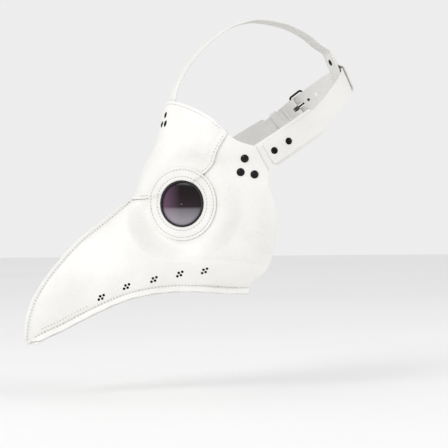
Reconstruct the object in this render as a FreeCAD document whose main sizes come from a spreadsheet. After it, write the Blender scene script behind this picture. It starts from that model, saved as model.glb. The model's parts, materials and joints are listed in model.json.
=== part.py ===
import FreeCAD, Part
import math
import os
import Sketcher
from FreeCAD import Matrix, Placement, Rotation, Vector

# Plague doctor mask: a sewn leather shell with a drooping beak, two round eyes and a riveted harness.
# Frame: +Z up, the beak points to -Y, the wearer's left is +X, and X = 0 is the mirror plane.
# The origin is the centre of the head opening, at the height of the side tabs.

doc = FreeCAD.newDocument("plague_doctor_mask")

# ---------------------------------------------------------------- driving dimensions (mm, degrees)

SIZES = [
    ("leather", 1.8, "thickness of every leather sheet"),
    ("layer_gap", 0.2, "room between two layers"),
    ("seam_gap", 0.2, "half of the room between two panels at a seam"),
    ("flange_width", 5.2, "raw edge that stands outside a stitched seam"),
    ("rear_limit", 22, "y where the sides run parallel"),
    ("eye_x", 40, "eye centre on the inner face"),
    ("eye_y", -76.5, "eye centre on the inner face"),
    ("eye_z", -52, "eye centre on the inner face"),
    ("eye_turn", 39, "how far the eye looks forward of straight sideways"),
    ("eye_flat", 43, "radius that stays flat round the eye"),
    ("eye_fade", 22, "width over which the flat part fades out"),
    ("eye_hole_radius", 25.8, "hole through the panels"),
    ("ring_radius", 39.8, "outside of the sewn eye ring"),
    ("ring_bore_radius", 25.2, "opening of the eye ring"),
    ("ring_top", 6.0, "height of the eye ring over the inner face"),
    ("ring_round", 1.0, "rounded outer edge of the eye ring"),
    ("rim_outer_radius", 25.0, "black lens rim"),
    ("rim_inner_radius", 23.2, "black lens rim"),
    ("rim_flange_radius", 28.4, "lens rim behind the panel"),
    ("rim_top", 5.0, "height of the lens rim"),
    ("lens_radius", 24.0, "lens edge, in the groove of the rim"),
    ("lens_thick", 1.6, "lens thickness"),
    ("lens_ball_radius", 120, "curvature of the lens"),
    ("lens_seat", 1.0, "height of the lens edge"),
    ("backing_radius", 33.0, "leather ring behind the lens rim"),
    ("vent_radius", 1.5, "punched vent hole"),
    ("vent_step_along", 3.8, "spacing of the four holes of a vent"),
    ("vent_step_across", 3.0, "spacing of the four holes of a vent"),
    ("rivet_radius", 4.4, "domed rivet cap"),
    ("rivet_height", 2.4, "domed rivet cap"),
    ("flat_rivet_radius", 3.8, "flat rivet cap"),
    ("flat_rivet_height", 1.2, "flat rivet cap"),
    ("post_radius", 1.6, "rivet post"),
    ("post_hole_radius", 1.75, "hole for a rivet post"),
    ("back_cap_radius", 3.6, "rivet cap on the inside"),
    ("back_cap_height", 0.9, "rivet cap on the inside"),
    ("tab_half_width", 16, "side tab"),
    ("tab_inside", 34, "length of the tab behind the shell"),
    ("tab_length", 81, "length of the tab behind the shell's edge"),
    ("strap_half_width", 12.5, "straps"),
    ("strap_start", 8, "front end of the straps, from the shell's edge"),
    ("strap_rivet_first", 15.5, "from the shell's edge"),
    ("strap_rivet_second", 35, "from the shell's edge"),
    ("bar_place", 122, "buckle bar, from the shell's edge along the harness"),
    ("wire_radius", 1.25, "buckle wire"),
    ("bar_hole_radius", 1.5, "fold of the strap round the buckle bar"),
    ("frame_length", 17, "buckle frame, bar to bar"),
    ("frame_half_width", 14.9, "buckle frame, centre to wire centre"),
    ("fold_length", 15, "strap folded back behind the bar"),
    ("prong_radius", 1.1, "prong"),
    ("prong_collar", 2.6, "outside of the prong's loop"),
    ("prong_half_width", 1.7, "prong's loop along the bar"),
    ("tail_place", 49, "tip of the billet, from the shell's edge"),
    ("hole_step", 12, "spacing of the adjusting holes"),
    ("adjust_hole_radius", 2.0, "adjusting holes"),
    ("pin_slot_half_length", 5.2, "hole that the prong stands in, drawn long by use"),
    ("pin_slot_half_width", 2.2, "hole that the prong stands in"),
    ("keeper_place", 95, "keeper loop, from the shell's edge"),
    ("keeper_width", 9, "keeper loop along the strap"),
    ("keeper_thick", 1.4, "keeper loop"),
    ("keeper_room", 0.8, "room inside the keeper loop"),
    ("crown_loop_room", 2.4, "room below the back strap in the crown strap's loop"),
    ("crown_loop_depth", 3.8, "room in front of the back strap, which curves through the loop"),
    ("brow_gap", 0.55, "room between the side panels and the forehead panel over them"),
    ("ring_gap", 0.6, "room between the side panels and the eye ring"),
]

sheet = doc.addObject("Spreadsheet::Sheet", "sizes")
for row, (alias, value, meaning) in enumerate(SIZES, start=1):
    sheet.set("A%d" % row, meaning)
    sheet.set("B%d" % row, str(value))
    sheet.setAlias("B%d" % row, alias)
doc.recompute()


def size(alias):
    return float(sheet.get(alias))


leather = size("leather")
layer_gap = size("layer_gap")
seam_gap = size("seam_gap")

# ---------------------------------------------------------------- the form: outlines and sections

# Mid-plane profile of the inner face, as (z, y): up the beak's ridge, over the bridge, up the forehead.
PROFILE = [(-210, -238.6), (-202, -238.4), (-183, -237), (-161, -231), (-138, -218), (-112, -197),
           (-91, -176), (-70, -148.4), (-47.5, -121), (-40.5, -112), (-30, -108.5), (-18, -105),
           (-5, -100), (8, -93.5), (21, -87.7), (34, -84), (47, -80.8), (70, -76)]
# Half width at the rear, and how each level's section bends: (z, value).
HALF_WIDTH = [(-210, 44), (-172, 54), (-138, 65), (-112, 74), (-91, 80), (-40, 86), (20, 85), (70, 82)]
FULLNESS = [(-210, 1.5), (-138, 1.5), (-112, 1.4), (-91, 1.3), (-52, 1.6), (-12, 1.7), (8, 2.3), (34, 3.1)]
ROUNDNESS = [(-60, 1.0), (-30, 0.75), (-12, 0.62), (8, 0.52), (34, 0.5)]

# Outline of a side panel in side view, as (y, z).
LOWER_SEAM = [(-238.4, -202.5), (-222, -193), (-206, -185.5), (-180, -171.5), (-154, -158.5),
              (-130, -149.3), (-103, -144), (-81, -142.3), (-60, -142.6), (-42, -143.8), (-17, -145)]
REAR_EDGE = [(-6, -136), (9, -122.6), (13.2, -109), (15.5, -92), (15.6, -76), (14.3, -62), (10.5, -46),
             (5.4, -31), (5.8, -17.6)]
TAB_CORNER = (-9.5, 9.3)
TOP_REAR_EDGE = [TAB_CORNER, (-18.7, 11.7), (-28.9, 15.5), (-38.5, 24)]
HIDDEN_EDGE = [(-47, 27), (-55, 8), (-68, -10), (-86, -23), (-104, -33), (-113, -38)]

# Outline of the forehead panel in front view, as (x, z), from its side corner.
BROW_TOP_EDGE = [(76.5, 24), (72.5, 33), (66, 41), (52, 50), (32, 57), (14, 60.5), (0, 61.5)]
BROW_SEAM = [(76.5, 24), (66.5, 1.3), (57, -19.5), (40, -32.5), (15, -45), (4.5, -48)]

# Vents, as (y, z), and how each slopes.
VENTS = [(-163, -153), (-137, -141.3), (-109, -133.7), (-82.5, -127.8), (-57, -124.4)]
VENT_SLOPE = 18
VENT_LEAN = 0.8

# Harness: centre line of the side tab and strap from the shell's edge to the middle of the back.
HARNESS = [(84.9, 20, 10), (81.4, 45, 26), (74, 67, 40), (66, 83, 54), (55, 98, 68),
           (38, 113.5, 82), (19, 124.5, 92), (0, 129, 95.5)]
EDGE_PLACE = (-1.6, -3.5)
TAB_SLOPE = 33
REAR_TILT = 25
# Where the tab has left the shell's curve for good, and over what length it does so.
TAB_FREE_Y = 18
TAB_FREE_FADE = 12

# Crown strap: its start behind the forehead panel, as z, then its centre line as (y, z) over the head.
CROWN_START = (31, 45, 58)
CROWN = [(-75.2, 74), (-69, 88), (-61, 101), (-51, 114), (-33, 131.5),
         (-8, 148.5), (23.5, 156.5), (53, 153), (78, 143.5), (98, 130)]

# Rivets: domed ones on each side tab as (y, z), and those of the crown strap as (x, z).
TAB_RIVETS = [(-19.5, -3.7), (-22.8, -18.4), (-8.9, -20.9)]
CROWN_RIVETS = [(0, 46), (-6.5, 36), (6.5, 36)]


def smooth(points, place):
    """Monotone cubic curve through (place, value) points, flat beyond its ends."""
    if place <= points[0][0]:
        return points[0][1]
    if place >= points[-1][0]:
        return points[-1][1]
    steps = [b[0] - a[0] for a, b in zip(points, points[1:])]
    slopes = [(b[1] - a[1]) / step for a, b, step in zip(points, points[1:], steps)]
    bends = [slopes[0]]
    for before, after in zip(slopes, slopes[1:]):
        bends.append(2 * before * after / (before + after) if before * after > 0 else 0)
    bends.append(slopes[-1])
    index = max(i for i in range(len(steps)) if points[i][0] <= place)
    part = (place - points[index][0]) / steps[index]
    start, end = points[index][1], points[index + 1][1]
    lift = bends[index] * steps[index] * part * (1 - part) ** 2
    drop = bends[index + 1] * steps[index] * part ** 2 * (1 - part)
    return start + (end - start) * part ** 2 * (3 - 2 * part) + lift - drop


def form_x(y, z):
    front = smooth(PROFILE, z)
    part = min(max((y - front) / (size("rear_limit") - front), 0), 1)
    return smooth(HALF_WIDTH, z) * (1 - (1 - part) ** smooth(FULLNESS, z)) ** smooth(ROUNDNESS, z)


def form_y(x, z):
    front = smooth(PROFILE, z)
    level = (abs(x) / smooth(HALF_WIDTH, z)) ** (1 / smooth(ROUNDNESS, z))
    return front + (1 - (1 - level) ** (1 / smooth(FULLNESS, z))) * (size("rear_limit") - front)


turn = math.radians(size("eye_turn"))
EYE_AXIS = Vector(math.cos(turn), -math.sin(turn), 0)
EYE_CENTRE = Vector(size("eye_x"), size("eye_y"), size("eye_z"))


def settle(point):
    """Flatten the form round each eye, where the stiff rings hold the leather flat."""
    side = -1 if point.x < 0 else 1
    near = Vector(abs(point.x), point.y, point.z)
    height = (near - EYE_CENTRE).dot(EYE_AXIS)
    reach = (near - EYE_CENTRE - EYE_AXIS * height).Length
    part = min(max((size("eye_flat") + size("eye_fade") - reach) / size("eye_fade"), 0), 1)
    flat = near - EYE_AXIS * (height * part * part * (3 - 2 * part))
    return Vector(side * flat.x, flat.y, flat.z)


def side_point(y, z):
    settled = settle(Vector(form_x(y, z), y, z))
    return settled + Vector(seam_gap, 0, 0)


def brow_point(x, z):
    return settle(Vector(x, form_y(x, z), z))


# ---------------------------------------------------------------- shape helpers

def spline(points):
    curve = Part.BSplineCurve()
    curve.interpolate([Vector(point) for point in points])
    return curve


def skin_solid(low_grid, high_grid):
    """Closed solid between two smooth surfaces, each drawn towards its own grid of points."""
    def knots(count):
        spans = count - 3
        return [4] + [1] * (spans - 1) + [4], list(range(spans + 1))

    skins = []
    for grid in (low_grid, high_grid):
        (u_mults, u_knots), (v_mults, v_knots) = knots(len(grid)), knots(len(grid[0]))
        skin = Part.BSplineSurface()
        skin.buildFromPolesMultsKnots(grid, u_mults, v_mults, u_knots, v_knots, False, False, 3, 3)
        skins.append(skin)
    faces = [skin.toShape() for skin in skins]
    first, second = skins
    u_low, u_high, v_low, v_high = first.bounds()
    for side in (u_low, u_high):
        faces.append(Part.makeRuledSurface(first.uIso(side).toShape(), second.uIso(side).toShape(), 1))
    for side in (v_low, v_high):
        faces.append(Part.makeRuledSurface(first.vIso(side).toShape(), second.vIso(side).toShape(), 1))
    return closed_solid(faces)


def closed_solid(faces):
    shell = Part.makeShell(faces)
    shell.sewShape()
    solid = Part.makeSolid(shell)
    if solid.Volume < 0:
        solid.reverse()
    return solid


def sheet_solid(surface, columns, rows, low, high):
    """Closed sheet between two offsets of surface(u, v), u and v each running from 0 to 1."""
    step = 0.004

    def normal(u, v):
        along = surface(min(u + step, 1), v) - surface(max(u - step, 0), v)
        across = surface(u, min(v + step, 1)) - surface(u, max(v - step, 0))
        return along.cross(across).normalize()

    grids = [[[surface(i / columns, j / rows) + normal(i / columns, j / rows) * offset
               for j in range(rows + 1)] for i in range(columns + 1)] for offset in (low, high)]
    return skin_solid(*grids)


def prism(edges, direction):
    return Part.Face(Part.Wire(Part.__sortEdges__(edges))).extrude(direction)


def through_hole(point, axis, radius, reach=14):
    direction = Vector(axis).normalize()
    return Part.makeCylinder(radius, 2 * reach, point - direction * reach, direction)


def local_frame(origin, along, outward):
    """Placement whose local X runs along and whose local Z points outward."""
    x = Vector(along).normalize()
    z = (outward - x * outward.dot(x)).normalize()
    y = z.cross(x)
    turned = Rotation(x, y, z, "ZXY")
    return Placement(Vector(origin), turned)


def feature(label, shape):
    """A piece whose shape comes from Part's own functions."""
    piece = doc.addObject("Part::Feature", label)
    piece.Label = label
    piece.Shape = shape
    return piece


def mirrored(label, source):
    piece = doc.addObject("Part::Mirroring", label)
    piece.Label = label
    piece.Source = source
    piece.Base = Vector(0, 0, 0)
    piece.Normal = Vector(1, 0, 0)
    return piece


def bound(kind, name, **expressions):
    """A Part primitive whose properties follow the sheet."""
    piece = doc.addObject(kind, name)
    for prop, expression in expressions.items():
        piece.setExpression(prop.replace("__", "."), expression)
    return piece


nodes = []

# ---------------------------------------------------------------- shell panels

Z_LOW, Z_HIGH = -208.0, 34.0
SEAM_START, SEAM_END = -237.5, -8.0
LOWER_SEAM_END = (SEAM_END, -144.6)
THROAT_RADIUS = 56.0
THROAT_CENTRE_Y = 2.0


def side_surface(u, v):
    z = Z_LOW + (Z_HIGH - Z_LOW) * v
    front = smooth(PROFILE, z)
    return side_point(front + (size("rear_limit") - front) * u * u, z)


def brow_surface(u, v):
    return brow_point(81.0 * (2 * u - 1), -50 + 114 * v)


def seam_point(y):
    z = smooth(LOWER_SEAM, y)
    return side_point(y, z)


def underside_surface(u, v):
    """Surface between the two lower seams, a little hollow from side to side."""
    y = SEAM_START + (SEAM_END - SEAM_START) * u
    edge = seam_point(y) - Vector(seam_gap, 0, 0)
    across = 2 * v - 1
    bow = 0.10 * edge.x * (1 - across * across)
    return Vector(across * edge.x, y, edge.z - seam_gap - bow)


def lower_flange(low, high):
    """Raw edge along the lower seam; the offsets grow from the side panel's face to the underside's."""
    step = 0.5
    first = SEAM_START + 4

    def surface(u, v):
        y = first + (SEAM_END - first) * u
        here = seam_point(y)
        tangent = (seam_point(y + step) - seam_point(y - step)).normalize()
        up = side_point(y, here.z + 4) - here
        down = (tangent * up.dot(tangent) - up).normalize()
        outward = (Vector(1, 0, 0) - tangent * tangent.x).normalize()
        run = (down + outward * 0.45).normalize()
        return here + run * ((size("flange_width") + 0.4) * v - 0.4)

    return sheet_solid(surface, 34, 3, low, high)


def ridge_flange():
    """Raw edge that stands up along the ridge, in a plane beside the mirror plane."""
    inner, outer = [], []
    for z in (-203, -196, -183, -161, -138, -112, -91, -70, -50):
        slope = (smooth(PROFILE, z + 1) - smooth(PROFILE, z - 1)) / 2
        out = Vector(0, -1, slope).normalize()
        here = Vector(seam_gap, smooth(PROFILE, z), z)
        inner.append(here - out * 1.2)
        outer.append(here + out * size("flange_width"))
    outer[0] = Vector(seam_gap, outer[0].y, -206.5)
    inner[0] = Vector(seam_gap, inner[0].y + 4, -203.5)
    edges = [spline(inner).toShape(), spline(outer).toShape(),
             Part.makeLine(inner[0], outer[0]), Part.makeLine(inner[-1], outer[-1])]
    return prism(edges, Vector(leather, 0, 0))


def side_panel_outline():
    """The side panel's outline, extruded sideways; the ridge is the sheet's own edge."""
    def flat(points):
        return [Vector(-30, y, z) for y, z in points]

    seam, rear = flat(LOWER_SEAM + [LOWER_SEAM_END]), flat(REAR_EDGE)
    top, hidden = flat(TOP_REAR_EDGE), flat(HIDDEN_EDGE)
    front_top, front_low = flat([(-260, HIDDEN_EDGE[-1][1]), (-260, LOWER_SEAM[0][1])])
    edges = [spline(run).toShape() for run in (seam, rear, top, hidden)]
    corners = [(seam[-1], rear[0]), (rear[-1], top[0]), (top[-1], hidden[0]),
               (hidden[-1], front_top), (front_top, front_low), (front_low, seam[0])]
    edges += [Part.makeLine(start, end) for start, end in corners]
    return prism(edges, Vector(150, 0, 0))


def surface_place(y, z):
    """Point on a side panel's inner face, and its outward axis."""
    step = 2.0
    along = side_point(y + step, z) - side_point(y - step, z)
    up = side_point(y, z + step) - side_point(y, z - step)
    return side_point(y, z), along.cross(up).normalize()


def brow_place(x, z):
    step = 2.0
    along = brow_point(x + step, z) - brow_point(x - step, z)
    up = brow_point(x, z + step) - brow_point(x, z - step)
    return brow_point(x, z), along.cross(up).normalize()


def vent_holes():
    holes = []
    slope = math.radians(VENT_SLOPE)
    half_along, half_across = size("vent_step_along") / 2, size("vent_step_across") / 2
    for y, z in VENTS:
        for along in (-half_along, half_along):
            for across in (-half_across, half_across):
                lean = along + VENT_LEAN * across
                hole_y = y + lean * math.cos(slope) - across * math.sin(slope)
                hole_z = z + lean * math.sin(slope) + across * math.cos(slope)
                holes.append(through_hole(*surface_place(hole_y, hole_z), size("vent_radius"), 6))
    return holes


def make_side_panel():
    panel = sheet_solid(side_surface, 24, 44, 0, leather)
    panel = panel.common(side_panel_outline())
    panel = panel.fuse([ridge_flange(), lower_flange(-seam_gap - leather, -seam_gap)])
    cuts = [through_hole(EYE_CENTRE, EYE_AXIS, size("eye_hole_radius"))] + vent_holes()
    cuts += [through_hole(*surface_place(y, z), size("post_hole_radius")) for y, z in TAB_RIVETS]
    low = leather + size("brow_gap")
    under_brow = brow_sheet(low - layer_gap, low + leather + 1.0)
    cuts += [under_brow, under_brow.mirror(Vector(0, 0, 0), Vector(1, 0, 0))]
    return panel.cut(cuts)


def brow_sheet(low, high, drop=0):
    """Forehead panel between two heights, its seam lowered by drop."""
    top = [Vector(x, -160, z) for x, z in BROW_TOP_EDGE]
    top += [Vector(-x, -160, z) for x, z in reversed(BROW_TOP_EDGE[:-1])]
    seam = [top[0]] + [Vector(x, -160, z - drop) for x, z in BROW_SEAM[1:]]
    far_seam = [Vector(-point.x, point.y, point.z) for point in seam]
    edges = [spline(run).toShape() for run in (top, seam, far_seam)]
    edges.append(Part.makeLine(seam[-1], far_seam[-1]))
    return sheet_solid(brow_surface, 36, 28, low, high).common(prism(edges, Vector(0, 200, 0)))


def make_forehead_panel():
    low = leather + size("brow_gap")
    panel = brow_sheet(low, low + leather)
    far_eye = Vector(-EYE_CENTRE.x, EYE_CENTRE.y, EYE_CENTRE.z)
    far_axis = Vector(-EYE_AXIS.x, EYE_AXIS.y, EYE_AXIS.z)
    cuts = [through_hole(EYE_CENTRE, EYE_AXIS, size("eye_hole_radius")),
            through_hole(far_eye, far_axis, size("eye_hole_radius"))]
    cuts += [through_hole(*brow_place(x, z), size("post_hole_radius")) for x, z in CROWN_RIVETS]
    return panel.cut(cuts)


def make_underside_panel():
    left = lower_flange(seam_gap, seam_gap + leather)
    right = left.mirror(Vector(0, 0, 0), Vector(1, 0, 0))
    panel = sheet_solid(underside_surface, 30, 8, 0, leather).fuse([left, right])
    return panel.cut(Part.makeCylinder(THROAT_RADIUS, 120, Vector(0, THROAT_CENTRE_Y, -210), Vector(0, 0, 1)))


left_side = feature("left_side_panel", make_side_panel())
forehead = feature("forehead_panel", make_forehead_panel())
underside = feature("underside_panel", make_underside_panel())
nodes += [left_side, mirrored("right_side_panel", left_side), forehead, underside]

# ---------------------------------------------------------------- eyes

# Each eye piece turns about its own Z axis; this placement sets it on the form, looking outward.
EYE_PLACEMENT = local_frame(EYE_CENTRE, Vector(-EYE_AXIS.y, EYE_AXIS.x, 0), EYE_AXIS)


def revolved_body(label, corners, placement):
    """PartDesign body turned about its Z axis; each corner is an (r, z) pair of sheet formulas."""
    body = doc.addObject("PartDesign::Body", label)
    body.Label = label
    sketch = body.newObject("Sketcher::SketchObject", label + "_profile")
    plane = [one for one in body.Origin.OriginFeatures if one.Role == "XZ_Plane"][0]
    sketch.AttachmentSupport = [(plane, "")]
    sketch.MapMode = "FlatFace"
    count = len(corners)
    for index in range(count):
        angle = 2 * math.pi * index / count
        after = 2 * math.pi * (index + 1) / count
        start = Vector(30 + 5 * math.cos(angle), 5 * math.sin(angle), 0)
        end = Vector(30 + 5 * math.cos(after), 5 * math.sin(after), 0)
        sketch.addGeometry(Part.LineSegment(start, end), False)
    for index in range(count):
        sketch.addConstraint(Sketcher.Constraint("Coincident", index, 2, (index + 1) % count, 1))
    for index, (radius, height) in enumerate(corners):
        for kind, formula in (("DistanceX", radius), ("DistanceY", height)):
            number = sketch.addConstraint(Sketcher.Constraint(kind, -1, 1, index, 1, 1.0))
            sketch.setExpression("Constraints[%d]" % number, formula)
    turned = body.newObject("PartDesign::Revolution", label + "_turned")
    turned.Profile = sketch
    turned.ReferenceAxis = (sketch, ["V_Axis"])
    turned.Angle = 360
    body.Placement = placement
    doc.recompute()
    return body


def make_eye_ring():
    disc = bound("Part::Cylinder", "ring_disc", Radius="sizes.ring_radius",
                 Height="sizes.ring_top - sizes.leather - sizes.ring_gap")
    bore = bound("Part::Cylinder", "ring_bore", Radius="sizes.ring_bore_radius", Height="sizes.ring_top + 10")
    bottom = Vector(0, 0, leather + size("ring_gap"))
    disc.Placement = EYE_PLACEMENT.multiply(Placement(bottom, Rotation()))
    bore.Placement = EYE_PLACEMENT
    doc.recompute()
    rounded = doc.addObject("Part::Fillet", "ring_rounded")
    rounded.Base = disc
    crown = [index for index, edge in enumerate(disc.Shape.Edges, start=1)
             if (edge.CenterOfMass - EYE_CENTRE).dot(EYE_AXIS) > size("ring_top") - 0.1]
    rounded.Edges = [(index, size("ring_round"), size("ring_round")) for index in crown]
    opened = doc.addObject("Part::Cut", "ring_opened")
    opened.Base, opened.Tool = rounded, bore
    top = 2 * leather + size("brow_gap") + layer_gap
    clearance = feature("brow_clearance", brow_sheet(leather - 0.5, top, 0.5))
    ring = doc.addObject("Part::Cut", "left_eye_ring")
    ring.Label = "left_eye_ring"
    ring.Base, ring.Tool = opened, clearance
    doc.recompute()
    return ring


def make_lens():
    """Spherical cap between two balls, trimmed to its round edge."""
    depth = "sqrt(sizes.lens_ball_radius ^ 2 - sizes.lens_radius ^ 2)"
    outer = bound("Part::Sphere", "lens_outer", Radius="sizes.lens_ball_radius + sizes.lens_thick")
    inner = bound("Part::Sphere", "lens_inner", Radius="sizes.lens_ball_radius")
    edge = bound("Part::Cylinder", "lens_edge", Radius="sizes.lens_radius", Height="sizes.lens_ball_radius + 10")
    centre_height = size("lens_seat") - math.sqrt(size("lens_ball_radius") ** 2 - size("lens_radius") ** 2)
    ball = EYE_PLACEMENT.multiply(Placement(Vector(0, 0, centre_height), Rotation()))
    for piece in (outer, inner, edge):
        piece.Placement = ball
    skin = doc.addObject("Part::Cut", "lens_skin")
    skin.Base, skin.Tool = outer, inner
    lens = doc.addObject("Part::Common", "left_lens")
    lens.Label = "left_lens"
    lens.Base, lens.Tool = skin, edge
    doc.recompute()
    return lens


def make_backing_ring():
    disc = bound("Part::Cylinder", "backing_disc", Radius="sizes.backing_radius", Height="sizes.leather")
    bore = bound("Part::Cylinder", "backing_bore", Radius="sizes.ring_bore_radius", Height="sizes.leather + 10")
    back = EYE_PLACEMENT.multiply(Placement(Vector(0, 0, -1.4 - leather), Rotation()))
    disc.Placement = back
    bore.Placement = EYE_PLACEMENT.multiply(Placement(Vector(0, 0, -5 - leather), Rotation()))
    ring = doc.addObject("Part::Cut", "left_lens_backing_ring")
    ring.Label = "left_lens_backing_ring"
    ring.Base, ring.Tool = disc, bore
    doc.recompute()
    return ring


RIM_CORNERS = [("sizes.rim_inner_radius", "-1.2"), ("sizes.rim_flange_radius", "-1.2"),
               ("sizes.rim_flange_radius", "-sizes.layer_gap"), ("sizes.rim_outer_radius", "-sizes.layer_gap"),
               ("sizes.rim_outer_radius", "sizes.rim_top"), ("sizes.rim_inner_radius", "sizes.rim_top"),
               ("sizes.rim_inner_radius", "sizes.lens_seat + sizes.lens_thick + 0.35"),
               ("sizes.lens_radius + 0.15", "sizes.lens_seat + sizes.lens_thick + 0.35"),
               ("sizes.lens_radius + 0.15", "sizes.lens_seat - 0.15"),
               ("sizes.rim_inner_radius", "sizes.lens_seat - 0.15")]

for piece in (make_eye_ring(), make_lens(), revolved_body("left_lens_rim", RIM_CORNERS, EYE_PLACEMENT),
              make_backing_ring()):
    nodes += [piece, mirrored(piece.Label.replace("left", "right"), piece)]

# ---------------------------------------------------------------- harness path


def inside_path(distance):
    """Point of the tab's outer face, a distance in front of the shell's edge."""
    slope = math.radians(TAB_SLOPE)
    y, z = EDGE_PLACE[0] - distance * math.cos(slope), EDGE_PLACE[1] - distance * math.sin(slope)
    point, axis = surface_place(y, z)
    return point - axis * layer_gap


path = spline([inside_path(size("tab_inside")), inside_path(size("tab_inside") / 2), inside_path(0)] + HARNESS)
edge_parameter = path.parameter(inside_path(0))
HALF_LENGTH = path.length(edge_parameter, path.LastParameter)


def harness_frame(place, side=1):
    """Point, tangent, outward axis and width axis of the harness, a length behind the shell's edge.

    Side is 1 for the wearer's left and -1 for the right.
    """
    parameter = path.parameterAtDistance(place, edge_parameter)
    point = path.value(parameter)
    tangent = Vector(*path.tangent(parameter)[0])
    level = tangent.cross(Vector(0, 0, 1)).normalize()
    share = min(max(place / HALF_LENGTH, 0), 1)
    tilt = math.radians(REAR_TILT) * share * share * (3 - 2 * share)
    upward = level.cross(tangent).normalize()
    outward = (level * math.cos(tilt) + upward * math.sin(tilt)).normalize()
    across = outward.cross(tangent).normalize()
    return [Vector(side * one.x, one.y, one.z) for one in (point, tangent, outward, across)]


def strap_solid(stations, half_width):
    """Strap swept through stations of (middle, width axis); it is one leather thick."""
    lengths = [0.0]
    for (before, _), (after, _) in zip(stations, stations[1:]):
        lengths.append(lengths[-1] + (after - before).Length)
    middle, side = Part.BSplineCurve(), Part.BSplineCurve()
    middle.interpolate(Points=[point for point, across in stations], Parameters=lengths)
    widths = [[(length, across[axis]) for length, (point, across) in zip(lengths, stations)] for axis in range(3)]

    def across_at(place):
        return Vector(*[smooth(width, place) for width in widths]).normalize()

    places = [0.0]
    for before, after in zip(lengths, lengths[1:]):
        parts = 1 + int((after - before) / 9)
        places += [before + (after - before) * (part + 1) / parts for part in range(parts)]
    side.interpolate(Points=[middle.value(place) + across_at(place) * half_width for place in places],
                     Parameters=places)
    start, across = middle.value(0), across_at(0)
    outward = Vector(*middle.tangent(0)[0]).cross(across).normalize()
    corners = [start + across * (share * half_width) + outward * (height * leather / 2)
               for share, height in ((-1, -1), (1, -1), (1, 1), (-1, 1))]
    sweep = Part.BRepOffsetAPI.MakePipeShell(Part.Wire([middle.toShape()]))
    sweep.setAuxiliarySpine(Part.Wire([side.toShape()]), True, 0)
    sweep.add(Part.makePolygon(corners + corners[:1]), False, False)
    sweep.build()
    sweep.makeSolid()
    return sweep.shape()


def rounded_end(point, tangent, outward, half_width, corner):
    """Tool that rounds the corners of a strap's end: everything past the end but the rounded shape."""
    box = Part.makeBox(40, 2 * half_width + 8, 12, Vector(-corner, -half_width - 4, -6))
    keep = Part.makeBox(corner + 0.01, 2 * (half_width - corner), 12, Vector(-corner, corner - half_width, -6))
    for sign in (-1, 1):
        keep = keep.fuse(Part.makeCylinder(corner, 12, Vector(-corner, sign * (half_width - corner), -6)))
    tool = box.cut(keep)
    tool.Placement = local_frame(point, tangent, outward)
    return tool


# Heights of the layers over the harness path, which is the outer face of the tabs.
STRAP_MIDDLE = layer_gap + leather / 2
TAIL_MIDDLE = STRAP_MIDDLE + leather + layer_gap
BAR_HEIGHT = STRAP_MIDDLE - leather / 2 - size("bar_hole_radius")
FOLD_MIDDLE = BAR_HEIGHT - size("bar_hole_radius") - leather / 2
UNDER_BAR = BAR_HEIGHT - size("wire_radius") - 2 * layer_gap - leather / 2
BACK_MIDDLE = (STRAP_MIDDLE + UNDER_BAR) / 2
FRAME_END = size("bar_place") + size("frame_length")
# Corner radii of the ends of the tab, of the riveted strap ends and of the billet's tip.
TAB_CORNER_RADIUS = 3.5
STRAP_CORNER_RADIUS = 2.0
TIP_RADIUS = 9.0
# How far the riveted ends of the straps stand off the tab at their tips, and under the first rivet.
FRONT_RISE = 0.4
RIVET_RISE = 0.15


def lifted(place, height, side=1):
    point, tangent, outward, across = harness_frame(place, side)
    return point + outward * height, across


def tab_surface(u, v):
    """Outer face of a tab: against the shell's inner face in front, free and flat behind it."""
    inside = size("tab_inside") - 1
    point, tangent, outward, across = harness_frame(-inside + (inside + size("tab_length")) * u)
    flat = point + across * ((2 * v - 1) * size("tab_half_width"))
    hugging = side_point(flat.y, flat.z) - Vector(layer_gap * 1.1, 0, 0)
    share = min(max((TAB_FREE_Y - flat.y) / TAB_FREE_FADE, 0), 1)
    share = share * share * (3 - 2 * share)
    return flat + (hugging - flat) * share


def make_tab():
    tab = sheet_solid(tab_surface, 26, 6, -leather, 0)
    point, tangent, outward, across = harness_frame(size("tab_length"))
    tab = tab.cut(rounded_end(point, tangent, outward, size("tab_half_width"), TAB_CORNER_RADIUS))
    cuts = [through_hole(*surface_place(y, z), size("post_hole_radius")) for y, z in TAB_RIVETS]
    return tab.cut(cuts + strap_rivet_holes())


def strap_rivet_holes(side=1):
    holes = []
    for alias in ("strap_rivet_first", "strap_rivet_second"):
        point, tangent, outward, across = harness_frame(size(alias), side)
        holes.append(through_hole(point, outward, size("post_hole_radius"), 6))
    return holes


def front_stations(side):
    """Riveted end of a strap; its tip stands a little clear of the tab's curve."""
    heights = ((size("strap_start"), FRONT_RISE), (20, 0.06), (35, 0))
    return [lifted(place, STRAP_MIDDLE + height, side) for place, height in heights]


def strap_front_end(side):
    point, tangent, outward, across = harness_frame(size("strap_start"), side)
    return rounded_end(point, tangent * -1, outward, size("strap_half_width"), STRAP_CORNER_RADIUS)


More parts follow.
